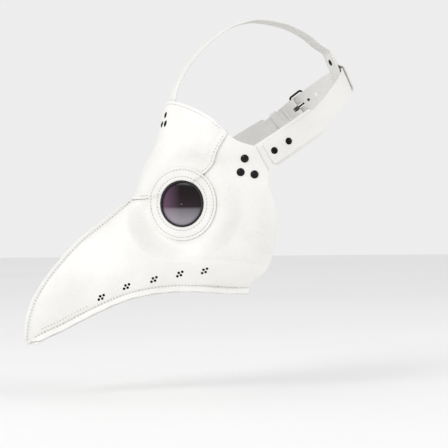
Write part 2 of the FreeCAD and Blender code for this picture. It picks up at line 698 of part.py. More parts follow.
def make_back_strap():
    """From the left tab round the back, behind the outer bar, over the buckle bar and on to its tip."""
    stations = front_stations(1) + [lifted(place, STRAP_MIDDLE) for place in (55, 80, 105, 130, 150)]
    stations.append(lifted(HALF_LENGTH - 22, (STRAP_MIDDLE + BACK_MIDDLE) / 2))
    stations.append(lifted(HALF_LENGTH, BACK_MIDDLE))
    stations.append(lifted(HALF_LENGTH - 22, (BACK_MIDDLE + UNDER_BAR) / 2, -1))
    bar = size("bar_place")
    under = [(FRAME_END + 9, UNDER_BAR), (FRAME_END + 3, UNDER_BAR), (FRAME_END - 1, UNDER_BAR)]
    rise = [(bar + 12.5, UNDER_BAR + 0.9), (bar + 9.5, -1.4), (bar + 6.5, 0.7), (bar + 3.8, 2.5)]
    over = [(place, TAIL_MIDDLE) for place in (bar + 1.4, bar - 3, 110, 98, 86, 74, 62, size("tail_place"))]
    for place, height in under + rise + over:
        stations.append(lifted(place, height, -1))
    strap = strap_solid(stations, size("strap_half_width"))
    point, tangent, outward, across = harness_frame(size("tail_place"), -1)
    tip = rounded_end(point + outward * TAIL_MIDDLE, tangent * -1, outward, size("strap_half_width"), TIP_RADIUS)
    strap = strap.cut([strap_front_end(1), tip])
    holes = strap_rivet_holes()
    for step in (-5, -4, -3, -2, -1, 1, 2):
        point, tangent, outward, across = harness_frame(bar + 7 + step * size("hole_step"), -1)
        height = TAIL_MIDDLE if step < 0 else UNDER_BAR
        holes.append(through_hole(point + outward * height, outward, size("adjust_hole_radius"), 2.5))
    return strap.cut(holes + [pin_slot()])


def buckle_placement():
    bar = harness_frame(size("bar_place"), -1)
    far = harness_frame(FRAME_END, -1)
    centre = bar[0] + bar[2] * BAR_HEIGHT
    return local_frame(centre, far[0] + far[2] * BAR_HEIGHT - centre, bar[2])


def pin_slot():
    half_length, half_width = size("pin_slot_half_length"), size("pin_slot_half_width")
    straight = half_length - half_width
    slot = Part.makeBox(2 * straight, 2 * half_width, 14, Vector(-straight, -half_width, -7))
    for sign in (-1, 1):
        slot = slot.fuse(Part.makeCylinder(half_width, 14, Vector(sign * straight, 0, -7)))
    slot.Placement = BUCKLE.multiply(Placement(Vector(6.6, 0, 1.6), Rotation()))
    return slot


def make_buckle_strap():
    """From the right tab to the buckle bar, round it and back underneath."""
    bar = size("bar_place")
    places = (55, 80, 96, 108, bar - 6, bar)
    stations = front_stations(-1) + [lifted(place, STRAP_MIDDLE, -1) for place in places]
    bend = STRAP_MIDDLE - BAR_HEIGHT
    centre, tangent, outward, across = harness_frame(bar, -1)
    centre = centre + outward * BAR_HEIGHT
    for angle in (30, 60, 90, 120, 150, 180):
        reach = math.radians(angle)
        stations.append((centre + outward * (bend * math.cos(reach)) + tangent * (bend * math.sin(reach)), across))
    stations.append(lifted(bar - 4, FOLD_MIDDLE + 0.15, -1))
    stations.append(lifted(bar - 8, FOLD_MIDDLE + 1.2, -1))
    lower = STRAP_MIDDLE - leather - layer_gap
    stations += [lifted(place, lower, -1) for place in (bar - 12, bar - 12 - size("fold_length") / 4)]
    strap = strap_solid(stations, size("strap_half_width"))
    slot = Part.makeBox(9.2, 5.0, 8.4, Vector(-3.6, -2.5, -4.8))
    slot.Placement = BUCKLE
    return strap.cut(strap_rivet_holes(-1) + [strap_front_end(-1), slot])


BUCKLE = buckle_placement()
left_tab = feature("left_side_tab", make_tab())
nodes += [left_tab, mirrored("right_side_tab", left_tab)]
nodes.append(feature("back_strap", make_back_strap()))
nodes.append(feature("buckle_strap", make_buckle_strap()))

# ---------------------------------------------------------------- crown strap


def back_frame():
    """Middle of the back strap, its outward axis and its upward width axis."""
    point, tangent, outward, across = harness_frame(HALF_LENGTH)
    outward = Vector(0, outward.y, outward.z).normalize()
    middle = point + outward * BACK_MIDDLE
    return Vector(0, middle.y, middle.z), outward, Vector(0, -outward.z, outward.y)


def crown_stations():
    stations = [Vector(0, smooth(PROFILE, z) + 0.3, z) for z in CROWN_START]
    stations += [Vector(0, y, z) for y, z in CROWN]
    middle, outward, upward = back_frame()
    half = size("strap_half_width")
    low = half + size("crown_loop_room") / 2
    front, back = leather + size("crown_loop_depth"), leather + 0.35
    inner = (half + 22, half + 14, half + 6, 0, -half + 3, -low)
    stations += [middle - outward * front + upward * height for height in inner]
    centre, radius = (back - front) / 2, (back + front) / 2
    for angle in (45, 90, 135):
        reach = math.radians(angle)
        along = centre - radius * math.cos(reach)
        stations.append(middle + outward * along - upward * (low + radius * math.sin(reach)))
    stations += [middle + outward * back + upward * height for height in (-low, -half + 3, 0, half + 0.5)]
    lap = front - leather - layer_gap
    stations += [middle - outward * lap + upward * height for height in (half + 6, half + 10, half + 15)]
    return stations


def flat_strap(points, half_width):
    """Strap that bends only in the mirror plane: its side view, pushed out to its width."""
    lengths = [0.0]
    for before, after in zip(points, points[1:]):
        lengths.append(lengths[-1] + (after - before).Length)
    middle = Part.BSplineCurve()
    middle.interpolate(Points=points, Parameters=lengths)
    places = [0.0]
    for before, after in zip(lengths, lengths[1:]):
        parts = 2 + int((after - before) / 9)
        places += [before + (after - before) * (part + 1) / parts for part in range(parts)]
    edges, ends = [], []
    for height in (-leather / 2, leather / 2):
        side = []
        for place in places:
            outward = Vector(1, 0, 0).cross(Vector(*middle.tangent(place)[0])).normalize()
            side.append(middle.value(place) + outward * height - Vector(half_width, 0, 0))
        edge = Part.BSplineCurve()
        edge.interpolate(Points=side, Parameters=places)
        breaks = places[::4][:-1] + [places[-1]]
        edges += [edge.toShape(start, end) for start, end in zip(breaks, breaks[1:])]
        ends.append((side[0], side[-1]))
    edges += [Part.makeLine(ends[0][end], ends[1][end]) for end in (0, 1)]
    return prism(edges, Vector(2 * half_width, 0, 0))


def crown_loop_place():
    middle, outward, upward = back_frame()
    return middle + upward * (size("strap_half_width") + 10), outward


def make_crown_strap():
    strap = flat_strap(crown_stations(), size("strap_half_width"))
    holes = [through_hole(*brow_place(x, z), size("post_hole_radius"), 7) for x, z in CROWN_RIVETS]
    holes.append(through_hole(*crown_loop_place(), size("post_hole_radius"), 8))
    return strap.cut(holes)


nodes.append(feature("crown_strap", make_crown_strap()))

# ---------------------------------------------------------------- rivets


def dome(name, radius, height):
    """Spherical cap of a given base radius and height, its base on Z = 0."""
    ball = "((%s) ^ 2 + (%s) ^ 2) / (2 * (%s))" % (radius, height, height)
    cap = bound("Part::Sphere", name, Radius=ball, Angle1="asin((%s - (%s)) / (%s))" % (ball, height, ball))
    cap.Angle2 = 90
    doc.recompute()
    shape = cap.Shape.copy()
    shape.translate(Vector(0, 0, -shape.BoundBox.ZMin))
    return shape


DOME_CAP = dome("domed_cap", "sizes.rivet_radius", "sizes.rivet_height")
FLAT_CAP = dome("flat_cap", "sizes.flat_rivet_radius", "sizes.flat_rivet_height")
BACK_CAP = dome("back_cap", "sizes.back_cap_radius", "sizes.back_cap_height")


def rivet(point, axis, bottom, top, cap):
    """Cap, post and inner cap set through layers that lie between two heights."""
    room = 0.12
    head = cap.copy()
    head.translate(Vector(0, 0, top + room))
    tail = BACK_CAP.mirror(Vector(0, 0, 0), Vector(0, 0, 1))
    tail.translate(Vector(0, 0, bottom - room))
    post = Part.makeCylinder(size("post_radius"), top - bottom + 2 * room + 0.6, Vector(0, 0, bottom - room - 0.3))
    whole = post.fuse([head, tail])
    along = Vector(0, 0, 1) - axis * axis.z
    whole.Placement = local_frame(point, along, axis)
    return whole


def strap_rivets():
    rivets = []
    for alias in ("strap_rivet_first", "strap_rivet_second"):
        point, tangent, outward, across = harness_frame(size(alias))
        rivets.append(rivet(point, outward, -leather, layer_gap + leather + RIVET_RISE, FLAT_CAP))
    return Part.makeCompound(rivets)


def tab_rivets():
    places = [surface_place(y, z) for y, z in TAB_RIVETS]
    return Part.makeCompound([rivet(point, axis, -leather - 2 * layer_gap, leather, DOME_CAP)
                              for point, axis in places])


def crown_rivets():
    places = [brow_place(x, z) for x, z in CROWN_RIVETS]
    top = 2 * leather + size("brow_gap")
    return Part.makeCompound([rivet(point, axis, -1.6, top, FLAT_CAP) for point, axis in places])


def crown_loop_rivet():
    point, outward = crown_loop_place()
    front = leather + size("crown_loop_depth")
    low, high = -front - leather / 2, -front + 1.5 * leather + layer_gap
    return rivet(point, outward, low - RIVET_RISE, high + RIVET_RISE, FLAT_CAP)


for label, shape in (("left_tab_rivets", tab_rivets()), ("left_strap_rivets", strap_rivets())):
    piece = feature(label, shape)
    nodes += [piece, mirrored(label.replace("left", "right"), piece)]
nodes.append(feature("crown_strap_rivets", crown_rivets()))
nodes.append(feature("crown_loop_rivet", crown_loop_rivet()))

# ---------------------------------------------------------------- buckle and keeper


def make_buckle_frame():
    """Rounded wire rectangle; its rear bar is the hinge."""
    wire, length, half = size("wire_radius"), size("frame_length"), size("frame_half_width")
    corner = 2.6
    outline = [(0, half - corner), (0, corner - half), (corner, -half), (length - corner, -half),
               (length, corner - half), (length, half - corner), (length - corner, half), (corner, half)]
    points = [Vector(x, y, 0) for x, y in outline]
    centres = [None, Vector(corner, corner - half, 0), None, Vector(length - corner, corner - half, 0), None,
               Vector(length - corner, half - corner, 0), None, Vector(corner, half - corner, 0)]
    edges = []
    for index, start in enumerate(points):
        end = points[(index + 1) % len(points)]
        centre = centres[index]
        if centre is None:
            edges.append(Part.makeLine(start, end))
        else:
            bulge = ((start + end) * 0.5 - centre).normalize() * corner
            edges.append(Part.Arc(start, centre + bulge, end).toShape())
    spine = Part.Wire(edges)
    section = Part.Wire([Part.makeCircle(wire, points[0], Vector(0, 1, 0))])
    frame = spine.makePipeShell([section], True, False)
    frame.Placement = BUCKLE
    return frame


def make_prong():
    wire, prong = size("wire_radius"), size("prong_radius")
    half, length = size("prong_half_width"), size("frame_length")
    collar = Part.makeCylinder(size("prong_collar"), 2 * half, Vector(0, -half, 0), Vector(0, 1, 0))
    rest = wire + prong + 0.08
    start, end = Vector(0.6, 0, size("prong_collar") - prong), Vector(length + 1.8, 0, rest)
    blade = Part.makeCylinder(prong, (end - start).Length, start, end - start)
    tip = Part.makeSphere(prong, end)
    bore = Part.makeCylinder(wire + 0.08, 4 * half, Vector(0, -2 * half, 0), Vector(0, 1, 0))
    prong_shape = collar.fuse([blade, tip]).cut(bore)
    prong_shape.Placement = BUCKLE
    return prong_shape


def make_keeper():
    point, tangent, outward, across = harness_frame(size("keeper_place"), -1)
    room, wall, half = size("keeper_room"), size("keeper_thick"), size("strap_half_width")
    low, high = layer_gap - room, TAIL_MIDDLE + leather / 2 + room
    width = size("keeper_width")
    outer = Part.makeBox(width, 2 * (half + room + wall), high - low + 2 * wall,
                         Vector(-width / 2, -half - room - wall, low - wall))
    long_edges = [edge for edge in outer.Edges if abs(edge.tangentAt(edge.FirstParameter).x) > 0.9]
    outer = outer.makeFillet(2.0, long_edges)
    inner = Part.makeBox(width + 2, 2 * (half + room), high - low, Vector(-width / 2 - 1, -half - room, low))
    keeper = outer.cut(inner)
    keeper.Placement = local_frame(point, tangent, outward)
    return keeper


nodes.append(feature("buckle_frame", make_buckle_frame()))
nodes.append(feature("buckle_prong", make_prong()))
nodes.append(feature("keeper_loop", make_keeper()))

# ---------------------------------------------------------------- checks and export

doc.recompute()
for piece in doc.Objects:
    if "Invalid" in piece.State or "Error" in piece.State:
        raise RuntimeError("failed object: " + piece.Label)
for piece in nodes:
    shape = piece.Shape
    if shape.isNull() or not shape.isValid() or shape.Volume <= 0:
        raise RuntimeError("bad shape: " + piece.Label)
    print("%-24s solids %d volume %.0f" % (piece.Label, len(shape.Solids), shape.Volume))

print("buckle bar", BUCKLE.Base, "axis", BUCKLE.Rotation.multVec(Vector(0, -1, 0)))
keeper_frame = harness_frame(size("keeper_place"), -1)
print("keeper", keeper_frame[0], "axis", keeper_frame[1])
print("harness half length", round(HALF_LENGTH, 1))

os.makedirs("parts", exist_ok=True)
for piece in nodes:
    piece.Shape.exportStep(os.path.join("parts", piece.Label + ".step"))
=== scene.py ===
import json
import math

import bmesh
import bpy
import numpy as np
from mathutils import Matrix, Vector

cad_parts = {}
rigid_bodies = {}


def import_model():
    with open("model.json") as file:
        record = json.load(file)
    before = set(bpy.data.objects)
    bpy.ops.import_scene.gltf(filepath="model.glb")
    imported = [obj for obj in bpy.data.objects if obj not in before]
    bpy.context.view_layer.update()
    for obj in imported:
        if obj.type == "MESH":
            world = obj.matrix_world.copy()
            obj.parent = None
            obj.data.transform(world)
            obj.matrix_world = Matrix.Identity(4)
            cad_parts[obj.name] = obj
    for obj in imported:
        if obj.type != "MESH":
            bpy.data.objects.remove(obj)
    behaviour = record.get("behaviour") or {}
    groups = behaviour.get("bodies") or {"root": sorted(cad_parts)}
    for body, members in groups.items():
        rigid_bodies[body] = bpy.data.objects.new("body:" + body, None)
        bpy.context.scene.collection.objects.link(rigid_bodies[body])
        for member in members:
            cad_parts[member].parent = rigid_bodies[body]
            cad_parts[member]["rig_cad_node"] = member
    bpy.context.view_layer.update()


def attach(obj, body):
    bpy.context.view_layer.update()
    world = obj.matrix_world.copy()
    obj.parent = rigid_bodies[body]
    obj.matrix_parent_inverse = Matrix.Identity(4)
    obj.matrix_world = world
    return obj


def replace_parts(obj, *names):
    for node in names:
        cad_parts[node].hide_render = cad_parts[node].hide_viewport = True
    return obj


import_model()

# Plague doctor mask. Lengths are in millimetres until a mesh is made, which turns them into metres.
MM = 0.001
LEATHER = 1.8
LAYER_GAP = 0.2
SEAM_GAP = 0.2
BROW_GAP = 0.55
FLANGE_WIDTH = 5.2
REAR_LIMIT = 22.0
EYE_CENTRE = np.array([40.0, -76.5, -52.0])
EYE_TURN = math.radians(39)
EYE_AXIS = np.array([math.cos(EYE_TURN), -math.sin(EYE_TURN), 0.0])
EYE_FLAT, EYE_FADE = 43.0, 22.0
EYE_OPENING = 26.4
RING_INNER, RING_OUTER = 25.2, 39.8
RING_OUTER_ROW, RING_INNER_ROW = 36.7, 29.2
STITCH_PITCH = 3.6
X_AXIS, Z_AXIS = np.array([1.0, 0, 0]), np.array([0, 0, 1.0])

# ---------------------------------------------------------------- materials

def node_material(name):
    material = bpy.data.materials.new(name)
    material.use_nodes = True
    nodes, links = material.node_tree.nodes, material.node_tree.links
    shader = next(node for node in nodes if node.type == "BSDF_PRINCIPLED")
    place = nodes.new("ShaderNodeTexCoord")
    return material, nodes, links, shader, place.outputs["Object"]


def noise(nodes, links, place, scale, detail=4.0, roughness=0.55):
    texture = nodes.new("ShaderNodeTexNoise")
    texture.inputs["Scale"].default_value = scale
    texture.inputs["Detail"].default_value = detail
    texture.inputs["Roughness"].default_value = roughness
    links.new(place, texture.inputs["Vector"])
    return texture.outputs["Fac"]


def ramp(nodes, links, value, stops):
    blend = nodes.new("ShaderNodeValToRGB")
    elements = blend.color_ramp.elements
    for index, (position, colour) in enumerate(stops):
        element = elements[index] if index < 2 else elements.new(position)
        element.position = position
        element.color = (*colour, 1)
    links.new(value, blend.inputs["Fac"])
    return blend.outputs["Color"]


def grey(value):
    return (value, value, value)


def mix(nodes, links, kind, share, first, second):
    node = nodes.new("ShaderNodeMix")
    node.data_type = "RGBA"
    node.blend_type = kind
    node.inputs[0].default_value = share
    links.new(first, node.inputs[6])
    links.new(second, node.inputs[7])
    return node.outputs[2]


def bump(nodes, links, height, strength, distance, before=None):
    node = nodes.new("ShaderNodeBump")
    node.inputs["Strength"].default_value = strength
    node.inputs["Distance"].default_value = distance
    links.new(height, node.inputs["Height"])
    if before is not None:
        links.new(before, node.inputs["Normal"])
    return node.outputs["Normal"]


def leather_material(name, light, dark, roughness, grain=0.35):
    """Ivory leather: fine grain, slow colour changes, scuffs, and painted shade darkening the creases."""
    material, nodes, links, shader, place = node_material(name)
    tone = ramp(nodes, links, noise(nodes, links, place, 14, 5), [(0.35, dark), (0.62, light)])
    geometry = nodes.new("ShaderNodeNewGeometry")
    # Painted shade: concave creases (low pointiness) are darkened where shade would collect.
    crease_shade = ramp(nodes, links, geometry.outputs["Pointiness"], [(0.42, (0.70, 0.67, 0.62)), (0.5, (1, 1, 1))])
    specks = ramp(nodes, links, noise(nodes, links, place, 420, 3),
                  [(0.28, (0.90, 0.885, 0.86)), (0.42, (1, 1, 1))])
    colour = mix(nodes, links, "MULTIPLY", 0.5, tone, crease_shade)
    colour = mix(nodes, links, "MULTIPLY", 0.6, colour, specks)
    links.new(colour, shader.inputs["Base Color"])
    gloss = ramp(nodes, links, noise(nodes, links, place, 40, 6, 0.65),
                 [(0.3, grey(roughness - 0.06)), (0.7, grey(roughness + 0.10))])
    links.new(gloss, shader.inputs["Roughness"])
    cells = nodes.new("ShaderNodeTexVoronoi")
    cells.inputs["Scale"].default_value = 900
    links.new(place, cells.inputs["Vector"])
    fine = bump(nodes, links, cells.outputs["Distance"], grain, 0.00008)
    wrinkle = bump(nodes, links, noise(nodes, links, place, 120, 6, 0.6), 0.25, 0.0003, fine)
    links.new(wrinkle, shader.inputs["Normal"])
    shader.inputs["Specular IOR Level"].default_value = 0.45
    return material


def shade_lining_material():
    """Near-black brushed fabric lining inside the shell, made black as painted shade for the dark inside of a
    worn mask.
    """
    material, nodes, links, shader, place = node_material("lining")
    tone = ramp(nodes, links, noise(nodes, links, place, 260, 5),
                [(0.3, (0.010, 0.010, 0.011)), (0.7, (0.028, 0.027, 0.028))])
    links.new(tone, shader.inputs["Base Color"])
    shader.inputs["Roughness"].default_value = 0.95
    shader.inputs["Specular IOR Level"].default_value = 0.1
    links.new(bump(nodes, links, noise(nodes, links, place, 900, 3), 0.6, 0.0002), shader.inputs["Normal"])
    return material


def thread_material():
    material, nodes, links, shader, place = node_material("thread")
    # Thread is greyer than the ivory leather: partly painted shade, standing in for the shade in the stitch
    # dimples.
    tone = ramp(nodes, links, noise(nodes, links, place, 500, 3),
                [(0.3, (0.42, 0.40, 0.37)), (0.7, (0.66, 0.64, 0.60))])
    links.new(tone, shader.inputs["Base Color"])
    shader.inputs["Roughness"].default_value = 0.75
    wave = nodes.new("ShaderNodeTexWave")
    wave.inputs["Scale"].default_value = 900
    wave.inputs["Distortion"].default_value = 2.0
    links.new(place, wave.inputs["Vector"])
    links.new(bump(nodes, links, wave.outputs["Fac"], 0.5, 0.0001), shader.inputs["Normal"])
    return material


def lens_material():
    """Dark tinted lens: brown-black above, with painted reflection making it smoke grey towards its lower
    edge.
    """
    material, nodes, links, shader, place = node_material("tinted_lens")
    split = nodes.new("ShaderNodeSeparateXYZ")
    links.new(place, split.inputs["Vector"])
    level = nodes.new("ShaderNodeMapRange")
    level.inputs["From Min"].default_value = -0.0765
    level.inputs["From Max"].default_value = -0.0275
    links.new(split.outputs["Z"], level.inputs["Value"])
    # Painted reflection: the lower part is lighter grey, with a step, standing in for reflected surroundings;
    # the dark upper part is the lens's tint.
    tint_and_painted_reflection = ramp(nodes, links, level.outputs["Result"],
                [(0.02, (0.36, 0.34, 0.38)), (0.95, (0.006, 0.003, 0.004)),
                 (0.37, (0.16, 0.145, 0.165)), (0.43, (0.022, 0.013, 0.017)), (0.7, (0.010, 0.005, 0.007))])
    haze = ramp(nodes, links, noise(nodes, links, place, 60, 4), [(0.3, grey(0.88)), (0.7, grey(1.0))])
    lean = nodes.new("ShaderNodeMapRange")
    lean.inputs["From Min"].default_value = -0.096
    lean.inputs["From Max"].default_value = -0.056
    links.new(split.outputs["Y"], lean.inputs["Value"])
    violet = ramp(nodes, links, lean.outputs["Result"], [(0.05, (0.10, 0.055, 0.095)), (0.38, (0, 0, 0))])
    tint_and_painted_reflection = mix(nodes, links, "ADD", 1.0, tint_and_painted_reflection, violet)
    links.new(mix(nodes, links, "MULTIPLY", 0.7, tint_and_painted_reflection, haze), shader.inputs["Base Color"])
    gloss = ramp(nodes, links, noise(nodes, links, place, 240, 5), [(0.3, grey(0.04)), (0.75, grey(0.12))])
    links.new(gloss, shader.inputs["Roughness"])
    shader.inputs["Specular IOR Level"].default_value = 0.18
    return material


def black_material(name, colour, roughness, metallic, wear, shine=0.18):
    material, nodes, links, shader, place = node_material(name)
    tone = ramp(nodes, links, noise(nodes, links, place, 300, 5),
                [(0.3, colour), (0.75, tuple(channel * 1.8 + 0.004 for channel in colour))])
    geometry = nodes.new("ShaderNodeNewGeometry")
    edge = ramp(nodes, links, geometry.outputs["Pointiness"], [(0.53, (0, 0, 0)), (0.62, grey(wear))])
    links.new(mix(nodes, links, "ADD", 1.0, tone, edge), shader.inputs["Base Color"])
    gloss = ramp(nodes, links, noise(nodes, links, place, 180, 5),
                 [(0.3, grey(roughness)), (0.75, grey(roughness + 0.12))])
    links.new(gloss, shader.inputs["Roughness"])
    shader.inputs["Metallic"].default_value = metallic
    shader.inputs["Specular IOR Level"].default_value = shine
    links.new(bump(nodes, links, noise(nodes, links, place, 700, 3), 0.12, 0.0001), shader.inputs["Normal"])
    return material


SHELL = leather_material("ivory_leather", (0.87, 0.86, 0.835), (0.80, 0.785, 0.755), 0.42)
RING = leather_material("ring_leather", (0.86, 0.85, 0.83), (0.79, 0.775, 0.75), 0.46)
STRAP = leather_material("strap_leather", (0.85, 0.84, 0.815), (0.77, 0.755, 0.725), 0.48, 0.5)
SHADE_LINING = shade_lining_material()
THREAD = thread_material()
LENS = lens_material()
RUBBER = black_material("rim_rubber", (0.006, 0.006, 0.007), 0.45, 0.0, 0.02)
LACQUER = black_material("rivet_lacquer", (0.002, 0.002, 0.002), 0.12, 0.0, 0.0, 0.2)
MATT_BLACK = black_material("rivet_matt_black", (0.003, 0.003, 0.003), 0.4, 0.0, 0.01, 0.1)
BLACK_METAL = black_material("buckle_black", (0.008, 0.008, 0.009), 0.3, 0.35, 0.08)

# ---------------------------------------------------------------- the form
# The curves are the CAD model's, but for BROW_SEAM, which bends about 2 mm further out near its top end.

PROFILE = [(-210, -238.6), (-202, -238.4), (-183, -237), (-161, -231), (-138, -218), (-112, -197),
           (-91, -176), (-70, -148.4), (-47.5, -121), (-40.5, -112), (-30, -108.5), (-18, -105),
           (-5, -100), (8, -93.5), (21, -87.7), (34, -84), (47, -80.8), (70, -76)]
HALF_WIDTH = [(-210, 44), (-172, 54), (-138, 65), (-112, 74), (-91, 80), (-40, 86), (20, 85), (70, 82)]
FULLNESS = [(-210, 1.5), (-138, 1.5), (-112, 1.4), (-91, 1.3), (-52, 1.6), (-12, 1.7), (8, 2.3), (34, 3.1)]
ROUNDNESS = [(-60, 1.0), (-30, 0.75), (-12, 0.62), (8, 0.52), (34, 0.5)]
LOWER_SEAM = [(-238.4, -202.5), (-222, -193), (-206, -185.5), (-180, -171.5), (-154, -158.5),
              (-130, -149.3), (-103, -144), (-81, -142.3), (-60, -142.6), (-42, -143.8), (-17, -145)]
LOWER_END = (-8, -144.6)
REAR_EDGE = [(-6, -136), (9, -122.6), (13.2, -109), (15.5, -92), (15.6, -76), (14.3, -62), (10.5, -46),
             (5.4, -31), (5.8, -17.6)]
TAB_CORNER = (-9.5, 9.3)
TOP_REAR_EDGE = [(-18.7, 11.7), (-28.9, 15.5), (-38.5, 24)]
HIDDEN_EDGE = [(-113, -38), (-104, -33), (-86, -23), (-68, -10), (-55, 8), (-47, 27)]
BROW_TOP_EDGE = [(0, 61.5), (14, 60.5), (32, 57), (52, 50), (66, 41), (72.5, 33), (76.5, 24)]
BROW_SEAM = [(0, -49), (4.5, -48), (15, -45), (40, -32.5), (57.4, -19.5), (68.6, 1.3), (73.2, 13.5),
             (76.5, 24)]
VENTS = [(-163, -153), (-137, -141.3), (-109, -133.7), (-82.5, -127.8), (-57, -124.4)]
VENT_SLOPE = math.radians(18)
VENT_LEAN = 0.8
VENT_RADIUS = 1.5
VENT_HALF_ALONG, VENT_HALF_ACROSS = 1.9, 1.5
CHEEK_CREASE = [(-101, -111), (-60, -112), (-28, -112.5), (4, -118)]


def smooth(points, place):
    """Monotone cubic curve through (place, value) points, flat beyond its ends."""
    xs, ys = (np.array([point[i] for point in points], float) for i in (0, 1))
    place = np.clip(np.asarray(place, float), xs[0], xs[-1])
    steps, rises = np.diff(xs), np.diff(ys)
    slopes = rises / steps
    product = slopes[:-1] * slopes[1:]
    total = np.where(product > 0, slopes[:-1] + slopes[1:], 1)
    bends = np.concatenate([[slopes[0]], np.where(product > 0, 2 * product / total, 0), [slopes[-1]]])
    index = np.clip(np.searchsorted(xs, place, side="right") - 1, 0, len(steps) - 1)
    part = (place - xs[index]) / steps[index]
    lift = bends[index] * steps[index] * part * (1 - part) ** 2
    drop = bends[index + 1] * steps[index] * part ** 2 * (1 - part)
    return ys[index] + rises[index] * part ** 2 * (3 - 2 * part) + lift - drop


def ease(low, high, value):
    part = np.clip((value - low) / (high - low), 0, 1)
    return part * part * (3 - 2 * part)


def form_x(y, z):
    front = smooth(PROFILE, z)
    part = np.clip((y - front) / (REAR_LIMIT - front), 0, 1)
    return smooth(HALF_WIDTH, z) * (1 - (1 - part) ** smooth(FULLNESS, z)) ** smooth(ROUNDNESS, z)


def form_y(x, z):
    front = smooth(PROFILE, z)
    level = np.clip(np.abs(x) / smooth(HALF_WIDTH, z), 0, 1) ** (1 / smooth(ROUNDNESS, z))
    return front + (1 - (1 - level) ** (1 / smooth(FULLNESS, z))) * (REAR_LIMIT - front)


def settle(points):
    """Flatten the form round each eye, where the stiff rings hold the leather flat."""
    side = np.where(points[..., :1] < 0, -1.0, 1.0)
    near = points * np.concatenate([side, np.ones_like(side), np.ones_like(side)], -1)
    height = (near - EYE_CENTRE) @ EYE_AXIS
    reach = np.linalg.norm(near - EYE_CENTRE - height[..., None] * EYE_AXIS, axis=-1)
    share = 1 - ease(EYE_FLAT, EYE_FLAT + EYE_FADE, reach)
    near = near - (height * share)[..., None] * EYE_AXIS
    near[..., :1] *= side
    return near


def side_points(y, z):
    y, z = np.broadcast_arrays(np.asarray(y, float), np.asarray(z, float))
    return settle(np.stack([form_x(y, z), y, z], -1)) + np.array([SEAM_GAP, 0, 0])


def brow_points(x, z):
    x, z = np.broadcast_arrays(np.asarray(x, float), np.asarray(z, float))
    return settle(np.stack([x, form_y(x, z), z], -1))


def unit(vectors):
    return vectors / np.maximum(np.linalg.norm(vectors, axis=-1, keepdims=True), 1e-9)


def side_normals(y, z, step=1.2):
    along = side_points(y + step, z) - side_points(y - step, z)
    up = side_points(y, z + step) - side_points(y, z - step)
    return unit(np.cross(along, up))


def brow_normals(x, z, step=1.2):
    along = brow_points(x + step, z) - brow_points(x - step, z)
    up = brow_points(x, z + step) - brow_points(x, z - step)
    return unit(np.cross(along, up))


def eye_reach(points):
    """Distance from the nearest eye's axis."""
    near = points.copy()
    near[..., 0] = np.abs(near[..., 0])
    height = (near - EYE_CENTRE) @ EYE_AXIS
    return np.linalg.norm(near - EYE_CENTRE - height[..., None] * EYE_AXIS, axis=-1)


# ---------------------------------------------------------------- curves

def run_along(points):
    """Distance from a line's first point to each of its points."""
    return np.concatenate([[0], np.cumsum(np.linalg.norm(np.diff(points, axis=0), axis=1))])


def curve(points, count):
    """Smooth curve through points, sampled evenly along its length."""
    points = np.array(points, float)
    chord = run_along(points)
    fine = np.linspace(0, chord[-1], 400)
    dense = np.stack([smooth(list(zip(chord, points[:, axis])), fine) for axis in range(points.shape[1])], -1)
    return spaced(dense, count)


def spaced(dense, count):
    run = run_along(dense)
    even = np.linspace(0, run[-1], count)
    return np.stack([np.interp(even, run, dense[:, axis]) for axis in range(dense.shape[1])], -1)


def length_of(dense):
    return float(np.linalg.norm(np.diff(dense, axis=0), axis=1).sum())


RIDGE_Z = np.linspace(-202.5, -41, 300)
RIDGE = np.stack([smooth(PROFILE, RIDGE_Z), RIDGE_Z], -1)
SEAM = curve(LOWER_SEAM + [LOWER_END], 400)
REAR = curve(REAR_EDGE, 200)
TOP_REAR = curve([TAB_CORNER] + TOP_REAR_EDGE, 120)
HIDDEN = curve(HIDDEN_EDGE, 160)


def nearest(points, line):
    """Distance from each 2-D point to a line, and how far along the line that is."""
    flat = points.reshape(-1, 2)
    run = run_along(line)
    best, along = np.full(len(flat), 1e9), np.zeros(len(flat))
    for start in range(0, len(flat), 8000):
        block = flat[start:start + 8000]
        gaps = np.linalg.norm(block[:, None] - line[None], axis=-1)
        index = gaps.argmin(1)
        best[start:start + 8000] = gaps[np.arange(len(block)), index]
        along[start:start + 8000] = run[index]
    return best.reshape(points.shape[:-1]), along.reshape(points.shape[:-1])


# ---------------------------------------------------------------- meshes

def make_mesh(name, vertices, faces, shade=True):
    mesh = bpy.data.meshes.new(name)
    mesh.from_pydata([tuple(float(c) * MM for c in vertex) for vertex in vertices], [], faces)
    mesh.validate()
    mesh.update()
    piece = bpy.data.objects.new(name, mesh)
    bpy.context.scene.collection.objects.link(piece)
    if shade:
        mesh.shade_smooth()
    return piece


def grid_faces(rows, columns, offset=0, wrap=False):
    faces = []
    for i in range(rows - 1):
        for j in range(columns if wrap else columns - 1):
            after = (j + 1) % columns
            faces.append((offset + i * columns + j, offset + (i + 1) * columns + j,
                          offset + (i + 1) * columns + after, offset + i * columns + after))
    return faces


def clean(piece, distance=0.03):
    mesh = bmesh.new()
    mesh.from_mesh(piece.data)
    bmesh.ops.remove_doubles(mesh, verts=mesh.verts, dist=distance * MM)
    bmesh.ops.dissolve_degenerate(mesh, edges=mesh.edges, dist=distance * MM * 0.5)
    mesh.to_mesh(piece.data)
    mesh.free()


def apply_modifiers(piece):
    bpy.context.view_layer.update()
    graph = bpy.context.evaluated_depsgraph_get()
    solved = bpy.data.meshes.new_from_object(piece.evaluated_get(graph))
    piece.modifiers.clear()
    old, piece.data = piece.data, solved
    bpy.data.meshes.remove(old)


